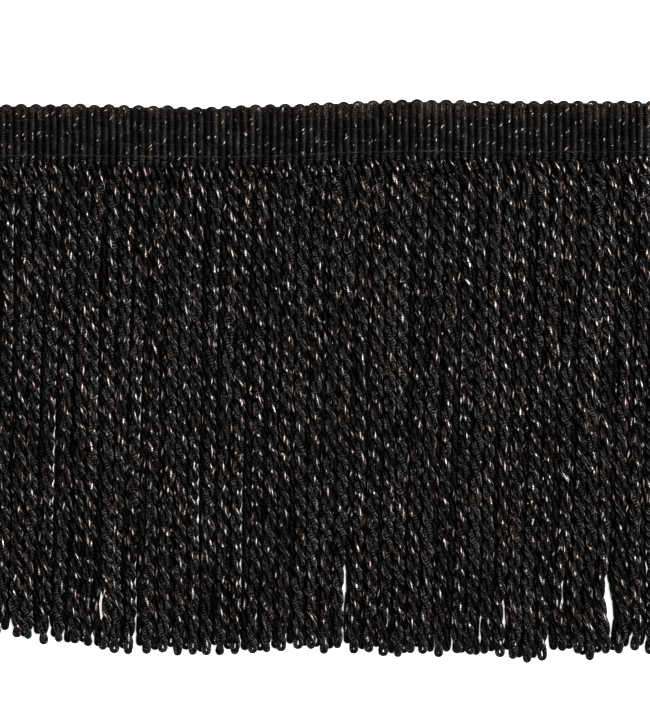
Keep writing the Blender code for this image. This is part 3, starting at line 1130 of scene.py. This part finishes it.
# Single filaments have worked loose from the yarn. They stand out past the
# scallops and the loops as fine curved hairs.
STRAY_RADIUS = 0.035
STRAY_SIDES = 4
STRAY_RINGS = 10
STRAY_HEIGHT = 1.6
STRAY_DROOP = 0.5
STRAYS = {
    "heading": (
        {"x": -74.6, "y": 75.2, "length": 2.4, "way": 70, "curl": 70},
        {"x": -46.1, "y": 74.9, "length": 2.0, "way": 110, "curl": -60},
        {"x": -6.1, "y": 75.7, "length": 2.2, "way": 100, "curl": 50},
        {"x": 14.1, "y": 76.2, "length": 2.6, "way": 130, "curl": -40},
        {"x": 21.4, "y": 76.3, "length": 3.4, "way": 25, "curl": 80},
        {"x": 54.9, "y": 76.1, "length": 2.2, "way": 80, "curl": -80},
        {"x": 80.4, "y": 76.2, "length": 1.8, "way": 60, "curl": 50},
    ),
    "front_cords": (
        {"x": -69.1, "y": -72.0, "length": 2.8, "way": 250, "curl": 70},
        {"x": -23.6, "y": -74.0, "length": 2.2, "way": 290, "curl": -60},
        {"x": 13.3, "y": -74.2, "length": 3.0, "way": 300, "curl": 60},
        {"x": 41.9, "y": -74.8, "length": 3.4, "way": 255, "curl": 90},
        {"x": 64.2, "y": -73.8, "length": 3.0, "way": 285, "curl": -70},
    ),
}


def stray_hairs(rows):
    """Hairs that leave the yarn at a place and curl and sink as they go."""
    along = np.linspace(0, 1, STRAY_RINGS)
    paths = []
    for row in rows:
        way = np.radians(row["way"] + row["curl"] * along)
        step = row["length"] / (STRAY_RINGS - 1)
        x = row["x"] + np.cumsum(np.cos(way)) * step
        y = row["y"] + np.cumsum(np.sin(way)) * step
        paths.append(np.stack([x, y, STRAY_HEIGHT * (1 - STRAY_DROOP * along)], -1))
    return np.stack(paths)


for node, rows in STRAYS.items():
    skein = Skein()
    skein.add_round(stray_hairs(rows), STRAY_RADIUS, STRAY_SIDES)
    hairs = skein.piece(node + "_strays", thread_black, node)


# The surface is a plain white table lit through from below, as a lightbox is,
# with one large soft lamp on the right and a weaker one on the left.
FLOOR_SIDE = 16000
FLOOR_DEPTH = 0.02
FLOOR_PAINT = (0.85, 0.85, 0.85, 1)
FLOOR_ROUGHNESS = 0.9
FLOOR_GLOW = 0.8
WHITE = (1, 1, 1, 1)
LAMPS = (
    {"name": "key", "x": 330, "y": 90, "z": 760, "width": 170, "height": 560, "watts": 10.0},
    {"name": "fill", "x": -420, "y": 120, "z": 640, "width": 300, "height": 500, "watts": 2.0},
)
SURROUND = 0.03

floor_mesh = bpy.data.meshes.new("floor")
reach = FLOOR_SIDE / 2 * MM
corners = [(-reach, -reach, 0), (reach, -reach, 0), (reach, reach, 0), (-reach, reach, 0)]
floor_mesh.from_pydata(corners, [], [(0, 1, 2, 3)])
floor = bpy.data.objects.new("floor", floor_mesh)
floor.location.z = -FLOOR_DEPTH * MM
bpy.context.scene.collection.objects.link(floor)
paint, shader, _ = new_dye("floor", 0.0)
soak(shader, {
    "Base Color": FLOOR_PAINT,
    "Roughness": FLOOR_ROUGHNESS,
    "Emission Color": WHITE,
    "Emission Strength": FLOOR_GLOW,
})
floor_mesh.materials.append(paint)

for lamp in LAMPS:
    light = bpy.data.lights.new(lamp["name"], "AREA")
    light.shape = "RECTANGLE"
    light.size = lamp["width"] * MM
    light.size_y = lamp["height"] * MM
    light.energy = lamp["watts"]
    holder = bpy.data.objects.new(lamp["name"], light)
    holder.location = Vector((lamp["x"], lamp["y"], lamp["z"])) * MM
    holder.rotation_euler = (-holder.location).to_track_quat("-Z", "Y").to_euler()
    bpy.context.scene.collection.objects.link(holder)

surround = bpy.data.worlds.new("surround")
surround.use_nodes = True
background = surround.node_tree.nodes["Background"]
background.inputs["Color"].default_value = WHITE
background.inputs["Strength"].default_value = SURROUND
bpy.context.scene.world = surround
